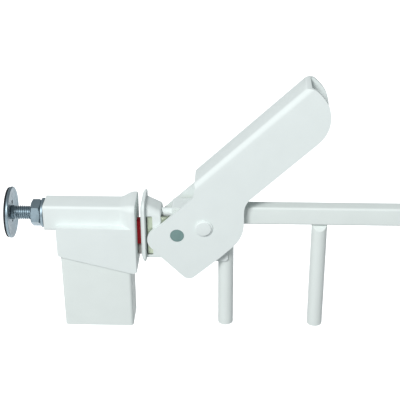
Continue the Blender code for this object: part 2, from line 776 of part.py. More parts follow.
def handle_shell():
    """A channel-section lever: two cheeks joined by a web along the grip, open below and at the tip."""
    outer = prism("handle_shell", filleted(HANDLE_CORNERS), "Y", -HANDLE_HALF, HANDLE_HALF)
    section = filleted([
        (-HANDLE_HALF - 1, -40, 0.0),
        (HANDLE_HALF + 1, -40, 0.0),
        (HANDLE_HALF + 1, 20, 0.0),
        (HANDLE_HALF, 20.5, 0.0),
        (HANDLE_HALF, WEB_TOP + 0.01, SHOULDER_RADIUS),
        (-HANDLE_HALF, WEB_TOP + 0.01, SHOULDER_RADIUS),
        (-HANDLE_HALF, 20.5, 0.0),
        (-HANDLE_HALF - 1, 20, 0.0),
    ])
    keep_common(outer, prism("section", section, "X", -60, 140))
    half = HANDLE_HALF - CHEEK_WALL
    channel = filleted([
        (-half, -60, 0.0),
        (half, -60, 0.0),
        (half, WEB_TOP - WEB_WALL, 1.6),
        (-half, WEB_TOP - WEB_WALL, 1.6),
    ])
    cut(outer, prism("channel", channel, "X", -80, 160))
    cut(outer, rod("pivot_hole", "Y", (0, 0), 4.1, -20, 20))
    cut(outer, rod("stud_hole", "Y", STUD_UV, STUD_RADIUS + 0.1, -20, 20, 24))
    for side in (-1, 1):
        ys = sorted((side * (HANDLE_HALF - 1.6), side * 20))
        cut(outer, rod("stud_seat", "Y", STUD_UV, STUD_HEAD_RADIUS + 0.08, ys[0], ys[1], 32))
    raised = Matrix.Rotation(-math.radians(LIFT_DEGREES), 4, "Y")
    outer.data.transform(Matrix.Translation(Vector((PIVOT_X, 0, PIVOT_Z)) * MM) @ raised)
    return outer


def cam_stud(name, side):
    """A riveted steel stud in a cheek. Its flat head is flush, and its shank works the pull plate."""
    inner, seat, face = BODY_HALF_DEPTH + 0.25, HANDLE_HALF - 1.5, HANDLE_HALF - 0.05
    profile = [
        (inner, 0), (inner, STUD_RADIUS - 0.3), (inner + 0.3, STUD_RADIUS), (seat, STUD_RADIUS),
        (seat, STUD_HEAD_RADIUS), (face - 0.2, STUD_HEAD_RADIUS), (face, STUD_HEAD_RADIUS - 0.2), (face, 0),
    ]
    return turned(name, "Y", stud_at(0), [(side * along, radius) for along, radius in profile], 24)


def pivot_pin():
    """A hollow steel pin, fixed in the latch body, that both cheeks turn on."""
    reach = HANDLE_HALF - 0.1
    return plain_ring("pivot_pin", "Y", (PIVOT_X, PIVOT_Z), 2.6, 4.02, -reach, reach, 32)


def pivot_spacer(name, side):
    """A nylon ring that keeps a cheek clear of the body."""
    start, end = sorted((side * (BODY_HALF_DEPTH + 0.2), side * (HANDLE_HALF - CHEEK_WALL - 0.25)))
    return plain_ring(name, "Y", (PIVOT_X, PIVOT_Z), 4.15, 7.8, start, end, 28)


def pivot_cap(name, side):
    """A stepped cover on the cheek, with a peg in the pin's bore."""
    profile = [
        (6.0, 0), (6.0, 2.1), (6.4, 2.5), (HANDLE_HALF + 0.15, 2.5), (HANDLE_HALF + 0.15, 6.35),
        (HANDLE_HALF + 0.65, 6.35), (HANDLE_HALF + 0.85, 6.1), (HANDLE_HALF + 0.85, 5.35),
        (HANDLE_HALF + 1.6, 5.2), (HANDLE_HALF + 1.95, 4.8), (HANDLE_HALF + 2.0, 0),
    ]
    return turned(name, "Y", (PIVOT_X, PIVOT_Z), [(side * along, radius) for along, radius in profile], 28)


# ---------------------------------------------------------------- assembly

GATE_HINGE_X = 750.0


def clear_scene():
    for old in list(bpy.data.objects):
        bpy.data.objects.remove(old)


def main():
    clear_scene()
    painted = make_material("white_painted_steel", (0.80, 0.82, 0.80), 0.42)
    plastic = make_material("white_moulded_plastic", (0.82, 0.84, 0.83), 0.38)
    red = make_material("red_plastic", (0.62, 0.02, 0.03), 0.4)
    zinc = make_material("bright_zinc", (0.52, 0.58, 0.62), 0.3, 1.0)
    yellow_zinc = make_material("yellow_zinc", (0.72, 0.70, 0.45), 0.35, 1.0)
    steel = make_material("spring_steel", (0.45, 0.47, 0.48), 0.35, 1.0)
    rubber = make_material("dark_rubber", (0.03, 0.035, 0.04), 0.75)
    nylon = make_material("grey_nylon", (0.45, 0.46, 0.46), 0.5)

    wall = make_axis("wall_spindle_axis")
    post = make_axis("post_slide_axis", parent=wall)
    nut = make_axis("nut_turn_axis", x=(NUT_START + NUT_END) / 2, parent=post)
    indicator = make_axis("indicator_slide_axis", x=TAB_BACK, z=STEM_Z, parent=post)
    gate = make_axis("gate_swing_axis", x=GATE_HINGE_X, parent=post)
    cap = make_axis("cap_slide_axis", x=CAP_BACK, z=ROD_Z, parent=gate)
    pivot = make_axis("handle_lift_axis", x=PIVOT_X, z=PIVOT_Z, parent=gate)

    place(wall, rubber, pad_rubber())
    place(wall, zinc, pad_disc(), threaded_spindle(), pad_rivet())
    place(nut, zinc, hex_nut())

    place(post, zinc, washer())
    for k, centre in enumerate(HOUSING_SCREWS, 1):
        place(post, zinc, housing_screw(f"housing_screw_{k}", centre))
    place(post, painted, post_tube())
    place(post, plastic, post_housing())
    place(post, nylon, spindle_bush(), indicator_guide())
    place(post, steel, indicator_spring())
    place(indicator, red, pressure_indicator())

    place(gate, painted, rail_tube(), gate_bar("bar_1", BAR_X[0]), gate_bar("bar_2", BAR_X[1]))
    place(gate, plastic, latch_body("latch_body_front", -1), latch_body("latch_body_rear", 1))
    place(gate, nylon, rail_plug())
    place(gate, nylon, pivot_spacer("pivot_spacer_front", -1), pivot_spacer("pivot_spacer_rear", 1))
    for k, centre in enumerate(BODY_SCREWS, 1):
        place(gate, zinc, body_screw(f"body_screw_{k}", centre, -4.9))
    place(gate, zinc, body_screw("rail_screw", RAIL_SCREW, -1.9), pivot_pin())

    place(cap, plastic, end_plate(), push_rod())
    place(cap, nylon, cap_core(), cap_nose())
    place(cap, yellow_zinc, pull_plate("pull_plate_front", -1), pull_plate("pull_plate_rear", 1))
    for k, centre in enumerate(CROSS_PINS, 1):
        place(cap, zinc, cross_pin(f"cross_pin_{k}", centre))
    place(cap, zinc, rod_washer(), rod_screw())
    place(gate, steel, return_spring())

    place(pivot, plastic, handle_shell(), pivot_cap("pivot_cap_front", -1), pivot_cap("pivot_cap_rear", 1))
    place(pivot, zinc, cam_stud("cam_stud_front", -1), cam_stud("cam_stud_rear", 1))


main()
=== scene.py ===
"""The look of the stair gate latch: fine surfaces, materials, a pale studio and the camera.

Sizes are in millimetres in the part's frame, and MM turns them into metres when a mesh is made.
"""

import json
import math

import bmesh
import bpy
from mathutils import Matrix, Vector


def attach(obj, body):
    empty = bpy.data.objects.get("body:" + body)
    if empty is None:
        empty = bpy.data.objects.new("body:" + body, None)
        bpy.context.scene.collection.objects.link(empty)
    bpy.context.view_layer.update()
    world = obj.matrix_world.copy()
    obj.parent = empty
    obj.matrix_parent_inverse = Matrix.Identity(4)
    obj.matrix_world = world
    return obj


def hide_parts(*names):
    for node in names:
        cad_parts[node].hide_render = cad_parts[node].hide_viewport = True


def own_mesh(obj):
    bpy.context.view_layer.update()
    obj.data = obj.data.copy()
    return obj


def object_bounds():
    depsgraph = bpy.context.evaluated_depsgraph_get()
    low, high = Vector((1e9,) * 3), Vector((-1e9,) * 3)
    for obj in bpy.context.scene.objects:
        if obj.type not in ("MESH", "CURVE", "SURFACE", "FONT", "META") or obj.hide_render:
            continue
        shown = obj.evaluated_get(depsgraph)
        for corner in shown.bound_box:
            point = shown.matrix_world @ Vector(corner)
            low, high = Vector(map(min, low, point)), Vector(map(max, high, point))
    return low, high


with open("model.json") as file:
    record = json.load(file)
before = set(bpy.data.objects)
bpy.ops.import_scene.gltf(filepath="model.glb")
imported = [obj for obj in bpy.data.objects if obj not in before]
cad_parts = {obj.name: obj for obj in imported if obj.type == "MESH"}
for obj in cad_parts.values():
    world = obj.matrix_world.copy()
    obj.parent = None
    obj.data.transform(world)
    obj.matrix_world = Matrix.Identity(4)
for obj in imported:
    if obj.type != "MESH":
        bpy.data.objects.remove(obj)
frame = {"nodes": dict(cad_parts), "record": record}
CAD_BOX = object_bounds()

MM = 0.001
GAP = 0.3  # between pieces that touch
PAST = 1.0  # how far a cutter runs past what it cuts
PLAY = 0.1  # round a piece that is held in a hole
SIDES = ((-1, "front"), (1, "rear"))  # -Y is the front
ROUND_STEPS = 72  # sides of a full circle
ARC_STEP = math.radians(7)  # largest turn between two points of a filleted corner

# Wall pad and spindle, turned about the X axis
PAD_RADIUS = 18.2
RUBBER_THICK = 0.9
DISC_BACK, DISC_FLOOR, DISC_RIM = 1.2, 1.95, 3.5
DISC_BORE = 3.05
PAD_HOLE_RADIUS, PAD_HOLE_CIRCLE = 1.7, 7.2
PAD_HOLE_ANGLES = (45, 165, 285)  # degrees from +Y towards +Z
THREAD_PITCH = 1.5
THREAD_CREST, THREAD_ROOT = 4.95, 4.1
THREAD_X = (4.4, 73.4)
SPINDLE_X = (2.25, 74.0)
RIVET_BORE = 3.0
LOOSE_BORE = 5.3  # round the spindle
NUT_X = (16.7, 23.9)
NUT_FACES, NUT_BORE = 17.0, 5.0
NUT_VERTEX_ANGLE = 136.5  # degrees from +Y towards +Z
WASHER_X = (24.2, 25.9)
WASHER_RADIUS = 10.5

# Gate post and its housing
POST_X = (36.7, 86.7)
POST_Z = (-86.3, -9.6)
POST_HALF_DEPTH, POST_WALL, POST_CORNER = 12.5, 1.5, 2.5
HOUSING_LEFT, HOUSING_STEP, HOUSING_FACE = 26.2, 35.0, 91.0
TUBE_HALF, TUBE_CORNER = 9.5, 2.0
HOUSING_HALF_DEPTH = 14.5
HOUSING_LEDGE, HOUSING_TOP = -4.5, 12.0
HOUSING_LOW_LEFT, HOUSING_LOW_RIGHT = -27.25, -40.6
HOUSING_TOE = 86.5  # where the bottom edge starts to slope up towards the wall
FLARE_X = (78.5, 88.5)
BUSH_SEAT_END, BUSH_SEAT_RADIUS = 40.0, 7.3
HOUSING_SCREWS = ((70.0, -20.5), (79.5, -20.5))
HOUSING_SCREW_BORE, HOUSING_HEAD_SEAT = 1.9, 3.6

# Red tab, and the cap's nose below it in the same slot
SLOT_HALF = 3.4
TAB_X, TAB_HALF, TAB_Z = (88.2, 94.0), 3.0, (-22.8, -4.0)
STEM_START, STEM_RADIUS, STEM_Z = 77.0, 2.2, -14.5
NOSE_X, NOSE_HALF, NOSE_Z = (91.3, 94.1), 2.2, (-31.8, -24.0)
NOSE_STEM_X, NOSE_STEM_HALF, NOSE_STEM_Z = (92.3, 103.4), 1.9, (-28.4, -24.4)

# Clamping cap
CAP_TRAVEL = 2.9
CAP_FACE, CAP_BACK = 94.3, 97.7
CAP_HALF_DEPTH, CAP_CORNER = 14.5, 5.2
CAP_Z = (-32.3, 14.3)
CAP_DOME = (  # how far behind the face a section stands, and how far it is drawn in
    (0.0, 6.0),
    (0.1, 4.4),
    (0.35, 3.0),
    (0.75, 1.8),
    (1.2, 1.0),
    (1.7, 0.4),
    (2.2, 0.08),
    (2.6, 0.0),
    (3.0, 0.0),
    (3.25, 0.1),
    (3.4, 0.35),
)
BOSS_START, BOSS_END = 96.4, 108.8
BOSS_HALF_DEPTH, BOSS_BOTTOM, BOSS_SHOULDER = 10.3, -30.0, 5.0
BOSS_TOP_START, BOSS_TOP_END = 11.4, 5.8
ROOM_START, ROOM_HALF, ROOM_Z = 98.1, 9.3, (-28.8, 3.3)
WINDOW_END, WINDOW_Z = 102.6, (-27.5, 3.4)
CROSS_PINS = ((101.5, -18.0), (105.5, -24.0))
PIN_BORE = 1.45
PULL_Y = (7.5, 9.1)
PULL_TOP = {"front": 2.3, "rear": 0.0}
ROD_X, ROD_Z, ROD_RADIUS = (99.6, 130.6), 1.85, 3.2

# Gate frame
RAIL_X, RAIL_Z = (146.3, 282.0), (-4.85, 8.55)
RAIL_HALF_DEPTH, RAIL_WALL, RAIL_CORNER = 5.3, 1.2, 1.6
RAIL_SCREW = (158.5, 1.85)
BAR_X = (153.7, 219.2)
BAR_RADIUS, BAR_WALL, BAR_BOTTOM = 5.5, 1.0, -89.0
PINCH_HEIGHT, PINCH_HALF_DEPTH = 4.6, 1.4
BODY_X = (116.0, 155.2)
SLEEVE_END, SLEEVE_BOTTOM = 164.0, -6.85
BODY_Z = (-33.6, 9.0)
BODY_HALF_DEPTH, BODY_WALL, BODY_SPLIT = 7.2, 1.7, 0.1
BODY_SCREWS = ((131.0, -18.5), (141.0, -27.5))
BODY_SCREW_BORE, BODY_HEAD_SEAT = 1.7, 3.1

# Handle, drawn lying shut about the pivot: u towards the gate, v up
PIVOT = (138.3, -3.6)
LIFT_DEGREES = 43.4
PIVOT_BORE = 4.1
HANDLE_HALF, CHEEK_WALL = 13.0, 2.4
WEB_TOP, WEB_WALL, SHOULDER = 28.6, 2.6, 4.2
STUD_UV = (-17.9, 8.0)
STUD_RADIUS, STUD_HEAD_RADIUS = 2.5, 4.8
COVER_RADIUS, COVER_STEP_RADIUS = 6.35, 5.2
HANDLE_CORNERS = (  # u, v and the corner's radius
    (18.2, WEB_TOP, 1.4),
    (123.3, WEB_TOP, 7.0),
    (123.3, -5.7, 23.7),
    (32.8, -5.7, 14.0),
    (15.2, -24.6, 24.0),
    (-8.0, -25.1, 60.0),
    (-37.6, -24.1, 5.5),
    (-38.4, 3.5, 4.0),
    (-37.4, 8.5, 4.0),
    (-40.8, 24.2, 9.3),
    (-20.5, 21.6, 4.0),
    (10.5, 21.4, 3.0),
    (17.0, 26.4, 1.5),
)

# Camera, in millimetres and degrees from the part's frame, and lights in metres and watts
ORIGIN_DEPTH, CAMERA_RIGHT, CAMERA_UP = 706.7, 135.26, 8.48
YAW, PITCH, ROLL = math.radians(2.4), math.radians(27.5), math.radians(-0.41)
KEY_WAY, KEY_TARGET = (-0.40, -1.0, 0.86), (0.14, 0, 0)
KEY_DISTANCE, KEY_SIZE, KEY_POWER = 1.6, 0.45, 20
FLOOR_REACH, FLOOR_DROP = 6.0, 0.12

BODY_OF = {node: body for body, nodes in frame["record"]["behaviour"]["bodies"].items() for node in nodes}
SLOT_OF = {part["node"]: part["material_slot"] for part in frame["record"]["subparts"]}


# ---------------------------------------------------------------- materials


def node_of(tree, kind, **inputs):
    """A new shader node with its inputs set. An underscore in a name stands for a space."""
    node = tree.nodes.new(kind)
    for name, value in inputs.items():
        node.inputs[name.replace("_", " ")].default_value = value
    return node


def noise(tree, where, scale, detail, rough=0.5):
    node = node_of(tree, "ShaderNodeTexNoise", Scale=scale, Detail=detail, Roughness=rough)
    tree.links.new(where, node.inputs["Vector"])
    return node.outputs["Fac"]


def ranged(tree, value, low, high):
    """Spreads the middle of a noise's range over low to high."""
    node = node_of(tree, "ShaderNodeMapRange", From_Min=0.3, From_Max=0.7, To_Min=low, To_Max=high)
    tree.links.new(value, node.inputs["Value"])
    return node.outputs["Result"]


def make_material(
    name, colour, roughness, metallic=0.0, *,
    mottle=0.05, grain=1500.0, depth=0.01, stretch=(1, 1, 1), shine=0.5,
):
    """A Principled surface with slight colour variation, uneven roughness and a fine grain."""
    material = bpy.data.materials.new(name)
    material.use_nodes = True
    tree = material.node_tree
    shader = tree.nodes["Principled BSDF"]
    shader.inputs["Metallic"].default_value = metallic
    shader.inputs["Specular IOR Level"].default_value = shine
    where = tree.nodes.new("ShaderNodeTexCoord").outputs["Object"]
    mapping = node_of(tree, "ShaderNodeMapping", Scale=stretch)
    tree.links.new(where, mapping.inputs["Vector"])
    stretched = mapping.outputs["Vector"]

    broad = noise(tree, where, 70.0, 2.0)
    mix = tree.nodes.new("ShaderNodeMix")
    mix.data_type = "RGBA"
    mix.inputs["A"].default_value = (*[c * (1 - mottle) for c in colour], 1)
    mix.inputs["B"].default_value = (*[min(1, c * (1 + mottle)) for c in colour], 1)
    tree.links.new(ranged(tree, broad, 0, 1), mix.inputs["Factor"])
    tree.links.new(mix.outputs["Result"], shader.inputs["Base Color"])

    patch = noise(tree, stretched, grain * 0.25, 4.0)
    uneven = ranged(tree, patch, roughness * 0.85, min(1.0, roughness * 1.18))
    tree.links.new(uneven, shader.inputs["Roughness"])

    fine = noise(tree, stretched, grain, 4.0, 0.6)
    bump = node_of(tree, "ShaderNodeBump", Strength=0.5, Distance=depth * MM)
    tree.links.new(fine, bump.inputs["Height"])
    tree.links.new(bump.outputs["Normal"], shader.inputs["Normal"])
    return material


MATERIALS = {  # by the record's material slot
    "white_painted_steel": make_material(
        "white_powder_coat", (0.78, 0.84, 0.815), 0.5, mottle=0.012, grain=1100, depth=0.012, shine=0.25,
    ),
    "white_moulded_plastic": make_material(
        "white_plastic", (0.79, 0.85, 0.835), 0.62, mottle=0.01, grain=2200, depth=0.006, shine=0.15,
    ),
    "red_plastic": make_material(
        "red_plastic", (0.60, 0.0, 0.012), 0.35, mottle=0.06, grain=1800, depth=0.006, shine=0.2,
    ),
    "bright_zinc": make_material("bright_zinc", (0.23, 0.30, 0.34), 0.42, 0.8, mottle=0.14, depth=0.012),
    "yellow_zinc": make_material(
        "yellow_zinc", (0.46, 0.52, 0.41), 0.5, 0.85, mottle=0.06, depth=0.008, stretch=(0.15, 1, 1),
    ),
    "spring_steel": make_material("spring_steel", (0.45, 0.47, 0.48), 0.3, 1.0),
    "dark_rubber": make_material(
        "dark_rubber", (0.02, 0.026, 0.03), 0.7, mottle=0.15, grain=1400, depth=0.03,
    ),
    "grey_nylon": make_material("grey_nylon", (0.42, 0.45, 0.45), 0.5, mottle=0.04, grain=1200),
    "pale_nylon": make_material("pale_nylon", (0.80, 0.74, 0.70), 0.5, mottle=0.04, grain=1200),
}
STUD_STEEL = make_material("stud_steel", (0.14, 0.23, 0.22), 0.5, 0.3, grain=1800, depth=0.008)


# ---------------------------------------------------------------- mesh helpers


def new_object(name, work):
    """A linked object from bmesh work done in millimetres, with its faces turned out."""
    bmesh.ops.recalc_face_normals(work, faces=work.faces)
    work.transform(Matrix.Scale(MM, 4))
    mesh = bpy.data.meshes.new(name)
    work.to_mesh(mesh)
    work.free()
    piece = bpy.data.objects.new(name, mesh)
    bpy.context.scene.collection.objects.link(piece)
    return piece


def loft_work(rings):
    """Bmesh work of a closed solid through rings of equally many points."""
    work = bmesh.new()
    loops = [[work.verts.new(point) for point in ring] for ring in rings]
    for low, high in zip(loops, loops[1:]):
        for k in range(len(low)):
            after = (k + 1) % len(low)
            work.faces.new((low[k], low[after], high[after], high[k]))
    work.faces.new(loops[0])
    work.faces.new(loops[-1])
    return work


def loft(name, rings):
    return new_object(name, loft_work(rings))


def lift_point(pair, axis, along):
    """A 2-D point of an outline, placed at `along` on the axis that the outline is square to."""
    first, second = pair
    return {"X": (along, first, second), "Y": (first, along, second), "Z": (first, second, along)}[axis]


def prism(name, outline, axis, start, end, edge=0.0, ends=(True, True), segments=4):
    """An outline pushed along an axis, with its end edges rounded where ends says so."""
    work = loft_work([[lift_point(p, axis, at) for p in outline] for at in (start, end)])
    if edge:
        which = "XYZ".index(axis)
        marks = [at for at, rounded in zip((start, end), ends) if rounded]
        rim = [
            e for e in work.edges
            if any(all(abs(v.co[which] - at) < 1e-5 for v in e.verts) for at in marks)
        ]
        bmesh.ops.bevel(
            work, geom=rim, offset=edge, segments=segments, profile=0.5, affect="EDGES", clamp_overlap=False)
    return new_object(name, work)


def box(name, xs, ys, zs, edge=0.0):
    outline = [(xs[0], zs[0]), (xs[1], zs[0]), (xs[1], zs[1]), (xs[0], zs[1])]
    work = loft_work([[lift_point(p, "Y", at) for p in outline] for at in ys])
    if edge:
        bmesh.ops.bevel(work, geom=work.edges[:], offset=edge, segments=3, profile=0.5, affect="EDGES")
    return new_object(name, work)


def filleted(corners):
    """An outline from (a, b, radius) corners, each rounded by an arc of its radius."""
    outline = []
    for k, (a, b, radius) in enumerate(corners):
        here = Vector((a, b))
        to_last = (Vector(corners[k - 1][:2]) - here).normalized()
        to_next = (Vector(corners[(k + 1) % len(corners)][:2]) - here).normalized()
        half = to_last.angle(to_next) / 2
        if radius == 0 or half > math.radians(89.5):
            outline.append(tuple(here))
            continue
        centre = here + (to_last + to_next).normalized() * radius / math.sin(half)
        first = here + to_last * radius / math.tan(half) - centre
        turn = first.angle_signed(here + to_next * radius / math.tan(half) - centre)
        steps = max(2, math.ceil(abs(turn) / ARC_STEP))
        for step in range(steps + 1):
            outline.append(tuple(centre + Matrix.Rotation(-turn * step / steps, 2) @ first))
    return outline


def rounded_box_outline(low, high, radius):
    return filleted([
        (low[0], low[1], radius),
        (high[0], low[1], radius),
        (high[0], high[1], radius),
        (low[0], high[1], radius),
    ])


def circle(centre, radius, steps=ROUND_STEPS, first=0.0):
    turns = [first + 2 * math.pi * k / steps for k in range(steps)]
    return [(centre[0] + radius * math.cos(t), centre[1] + radius * math.sin(t)) for t in turns]


def rod(name, axis, centre, radius, start, end, steps=ROUND_STEPS):
    return prism(name, circle(centre, radius, steps), axis, start, end)


def softened(profile, amount=0.25, steps=3):
    """A turned profile with each inner corner of its path rounded by an arc-like curve."""
    points = [Vector(p) for p in profile]
    out = [points[0]]
    for last, here, after in zip(points, points[1:], points[2:]):
        reach = min(amount, (here - last).length * 0.45, (after - here).length * 0.45)
        a = here + (last - here).normalized() * reach
        b = here + (after - here).normalized() * reach
        for k in range(steps + 1):
            t = k / steps
            out.append(a * (1 - t) ** 2 + here * 2 * t * (1 - t) + b * t * t)
    out.append(points[-1])
    return [tuple(p) for p in out]


def turned(name, axis, centre, profile, steps=ROUND_STEPS):
    """A solid turned about an axis. A profile that starts and ends off the axis is closed into a ring."""
    work = bmesh.new()
    rings = []
    for along, radius in profile:
        ring = [(centre[0], centre[1])] if radius == 0 else circle(centre, radius, steps)
        rings.append([work.verts.new(lift_point(p, axis, along)) for p in ring])
    after_ring = rings[1:]
    if profile[0][1] and profile[-1][1]:
        after_ring = rings[1:] + rings[:1]
    for low, high in zip(rings, after_ring):
        for k in range(steps):
            after = (k + 1) % steps
            around = ((low, k), (low, after), (high, after), (high, k))
            corners = [ring[at % len(ring)] for ring, at in around]
            work.faces.new(list(dict.fromkeys(corners)))
    return new_object(name, work)


def ring_of(name, axis, centre, inner, outer, start, end, soft=0.2):
    """A turned ring with softened edges, whose profile starts and ends in the middle of its bore."""
    middle = (start + end) / 2
    profile = [
        (middle, inner),
        (end, inner),
        (end, outer),
        (start, outer),
        (start, inner),
        (middle, inner + 1e-4),
    ]
    return turned(name, axis, centre, softened(profile, soft)[:-1])


def combine(target, operation, *tools):
    """Applies a Boolean with each tool in turn, and removes the tools."""
    for tool in tools:
        step = target.modifiers.new(operation.lower(), "BOOLEAN")
        step.operation = operation
        step.object = tool
        graph = bpy.context.evaluated_depsgraph_get()
        mesh = bpy.data.meshes.new_from_object(target.evaluated_get(graph))
        target.modifiers.clear()
        spent = (target.data, tool.data)
        target.data = mesh
        bpy.data.objects.remove(tool)
        for old in spent:
            bpy.data.meshes.remove(old)
    return target


def cut(target, *tools):
    return combine(target, "DIFFERENCE", *tools)


def soften_edges(piece, width, angle=40, segments=3):
    """Rounds the sharp edges that Booleans leave."""
    bevel = piece.modifiers.new("edges", "BEVEL")
    bevel.width = width * MM
    bevel.segments = segments
    bevel.limit_method = "ANGLE"
    bevel.angle_limit = math.radians(angle)
    bevel.use_clamp_overlap = True
    bevel.miter_outer = "MITER_ARC"


def show(piece, material=None):
    """Puts a piece in the place of the CAD node that it is named after."""
    node = piece.name.removesuffix("_skin")
    piece.data.materials.clear()
    piece.data.materials.append(material or MATERIALS[SLOT_OF[node]])
    piece.data.shade_smooth()
    piece.data.set_sharp_from_angle(angle=math.radians(32))
    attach(piece, BODY_OF[node])
    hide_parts(node)
    return piece


# ---------------------------------------------------------------- wall pad and spindle


def make_wall_pad():
    """The rubber disc, and the dished steel disc with its three holes."""
    rubber = [
        (0, 0),
        (0, PAD_RADIUS - 1.3),
        (0.15, PAD_RADIUS - 0.6),
        (RUBBER_THICK, PAD_RADIUS - 0.4),
        (RUBBER_THICK, 0),
    ]
    show(turned("pad_rubber_skin", "X", (0, 0), softened(rubber, 0.2)))
    disc = [
        (DISC_BACK, DISC_BORE),
        (DISC_BACK, PAD_RADIUS - 0.9),
        (DISC_BACK + 0.5, PAD_RADIUS - 0.1),
        (DISC_RIM - 0.6, PAD_RADIUS),
        (DISC_RIM, PAD_RADIUS - 0.5),
        (DISC_RIM - 0.05, PAD_RADIUS - 1.3),
        (3.0, 14.6),
        (2.5, 11.6),
        (DISC_FLOOR, 8.6),
        (DISC_FLOOR, 6.6),
        (DISC_FLOOR + 0.2, 5.8),
        (DISC_FLOOR + 0.2, DISC_BORE),
    ]
    pad = turned("pad_disc_skin", "X", (0, 0), softened(disc, 0.3), 96)
    for degrees in PAD_HOLE_ANGLES:
        turn = math.radians(degrees)
        centre = (PAD_HOLE_CIRCLE * math.cos(turn), PAD_HOLE_CIRCLE * math.sin(turn))
        cut(pad, rod("hole", "X", centre, PAD_HOLE_RADIUS, 0, 5, 32))
    show(pad)


def make_thread(name, start, end, steps=40):
    """A helical thread along X: rows of points that climb one pitch each time round."""
    profile = (  # parts of a pitch, and the radius there
        (0.0, THREAD_ROOT),
        (0.14, THREAD_ROOT),
        (0.46, THREAD_CREST),
        (0.60, THREAD_CREST),
    )
    rows = len(profile)
    turns = int((end - start) / THREAD_PITCH) + 2
    work = bmesh.new()
    grid = []
    for row in range(-rows, rows * turns):
        part, radius = profile[row % rows]
        line = []
        for k in range(steps):
            along = start + THREAD_PITCH * (row // rows + part + k / steps)
            turn = 2 * math.pi * k / steps
            r = radius if start < along < end else THREAD_ROOT
            line.append(work.verts.new((min(max(along, start), end), r * math.cos(turn), r * math.sin(turn))))
        grid.append(line)
    for row in range(len(grid) - rows):
        for k in range(steps):
            if k + 1 < steps:
                beyond, after = grid[row + 1][k + 1], grid[row][k + 1]
            elif row + rows + 1 < len(grid):
                beyond, after = grid[row + rows + 1][0], grid[row + rows][0]
            else:
                continue
            work.faces.new((grid[row][k], grid[row + 1][k], beyond, after))
    bmesh.ops.remove_doubles(work, verts=work.verts, dist=1e-5)
    bmesh.ops.dissolve_degenerate(work, dist=1e-5, edges=work.edges)
    loose = [v for v in work.verts if not v.link_faces]
    bmesh.ops.delete(work, geom=loose, context="VERTS")
    bmesh.ops.holes_fill(work, edges=work.edges, sides=0)
    return new_object(name, work)


def make_spindle():
    """The threaded rod, with a plain collar at the pad, a tapered tip and the rivet's hole."""
    collar, tip = SPINDLE_X
    start, end = THREAD_X
    spindle = make_thread("threaded_spindle_skin", start, end)
    neck = [(collar, 0), (collar, 4.6), (collar + 0.4, 5.0), (4.3, 5.0), (4.8, 4.4), (6.0, 4.2), (6.0, 0)]
    taper = [(end - 1.0, 0), (end - 1.0, 4.2), (end, 4.0), (tip, 3.6), (tip, 0)]
    combine(spindle, "UNION", turned("neck", "X", (0, 0), neck, 40), turned("taper", "X", (0, 0), taper, 40))
    show(cut(spindle, rod("rivet_hole", "X", (0, 0), RIVET_BORE, -PAST, 10, 32)))


def make_nut_and_washer():
    """A hexagon with chamfered corners and a countersunk bore, and the plain washer behind it."""
    start, end = NUT_X
    corner = NUT_FACES / math.sqrt(3)
    hexagon = circle((0, 0), corner, 6, math.radians(NUT_VERTEX_ANGLE))
    nut = prism("hex_nut_skin", hexagon, "X", start, end)
    chamfer = corner - NUT_FACES / 2 + 0.8
    depth = chamfer * math.tan(math.radians(30))
    combine(nut, "INTERSECT", turned("chamfer", "X", (0, 0), [
        (start - 0.01, 0),
        (start - 0.01, corner - chamfer),
        (start + depth, corner + 0.02),
        (end - depth, corner + 0.02),
        (end + 0.01, corner - chamfer),
        (end + 0.01, 0),
    ], 96))
    cut(nut, rod("bore", "X", (0, 0), NUT_BORE, start - PAST, end + PAST))
    mouth = [(start - 0.02, 0), (start - 0.02, 5.6), (start + 0.7, 4.9), (start + 0.7, 0)]
    cut(nut, turned("mouth", "X", (0, 0), mouth))
    soften_edges(nut, 0.15, 25, 2)
    show(nut)
    show(ring_of("washer_skin", "X", (0, 0), LOOSE_BORE, WASHER_RADIUS, *WASHER_X, 0.35))


# ---------------------------------------------------------------- post side


def hollow_tube(name, low, high, wall, radius, axis, start, end):
    """A rectangular tube along an axis, open at both ends."""
    tube = prism(name, rounded_box_outline(low, high, radius), axis, start, end, 0.2, segments=2)
    inner_low, inner_high = (low[0] + wall, low[1] + wall), (high[0] - wall, high[1] - wall)
    inner = rounded_box_outline(inner_low, inner_high, max(0.4, radius - wall))
    return cut(tube, prism("hollow", inner, axis, start - PAST, end + PAST))


def make_post():
    """The post's tube, with a slot in its side for the red tab and the nose, and two screw holes."""
    low, high = (POST_X[0], -POST_HALF_DEPTH), (POST_X[1], POST_HALF_DEPTH)
    tube = hollow_tube("post_tube_skin", low, high, POST_WALL, POST_CORNER, "Z", *POST_Z)
    cut(tube, box("slot", (80, 90), (-5.5, 5.5), (-34.8, -8)))
    for centre in HOUSING_SCREWS:
        cut(tube, rod("screw_hole", "Y", centre, HOUSING_SCREW_BORE, 8, 16, 24))
    show(tube)


def flare_sizes(x):
    """Half width, top, bottom and corner radius at x, growing smoothly from the tube's to the face's."""
    start, end = FLARE_X
    t = min(1.0, (x - start) / (end - start))
    grown = t * t * (3 - 2 * t)
    narrow, wide = TUBE_HALF - 0.08, HOUSING_HALF_DEPTH - 0.02
    half = narrow + (wide - narrow) * grown
    top = narrow + (HOUSING_TOP - narrow) * grown
    return half, top, -9.4 - 8 * grown, TUBE_CORNER + 2.5 * grown


def flare_ring(x, sizes, inset=0.0):
    half, top, bottom, radius = sizes
    low, high = (-half + inset, bottom), (half - inset, top - inset)
    outline = rounded_box_outline(low, high, max(0.6, radius - inset * 0.6))
    return [lift_point(p, "X", x) for p in outline]


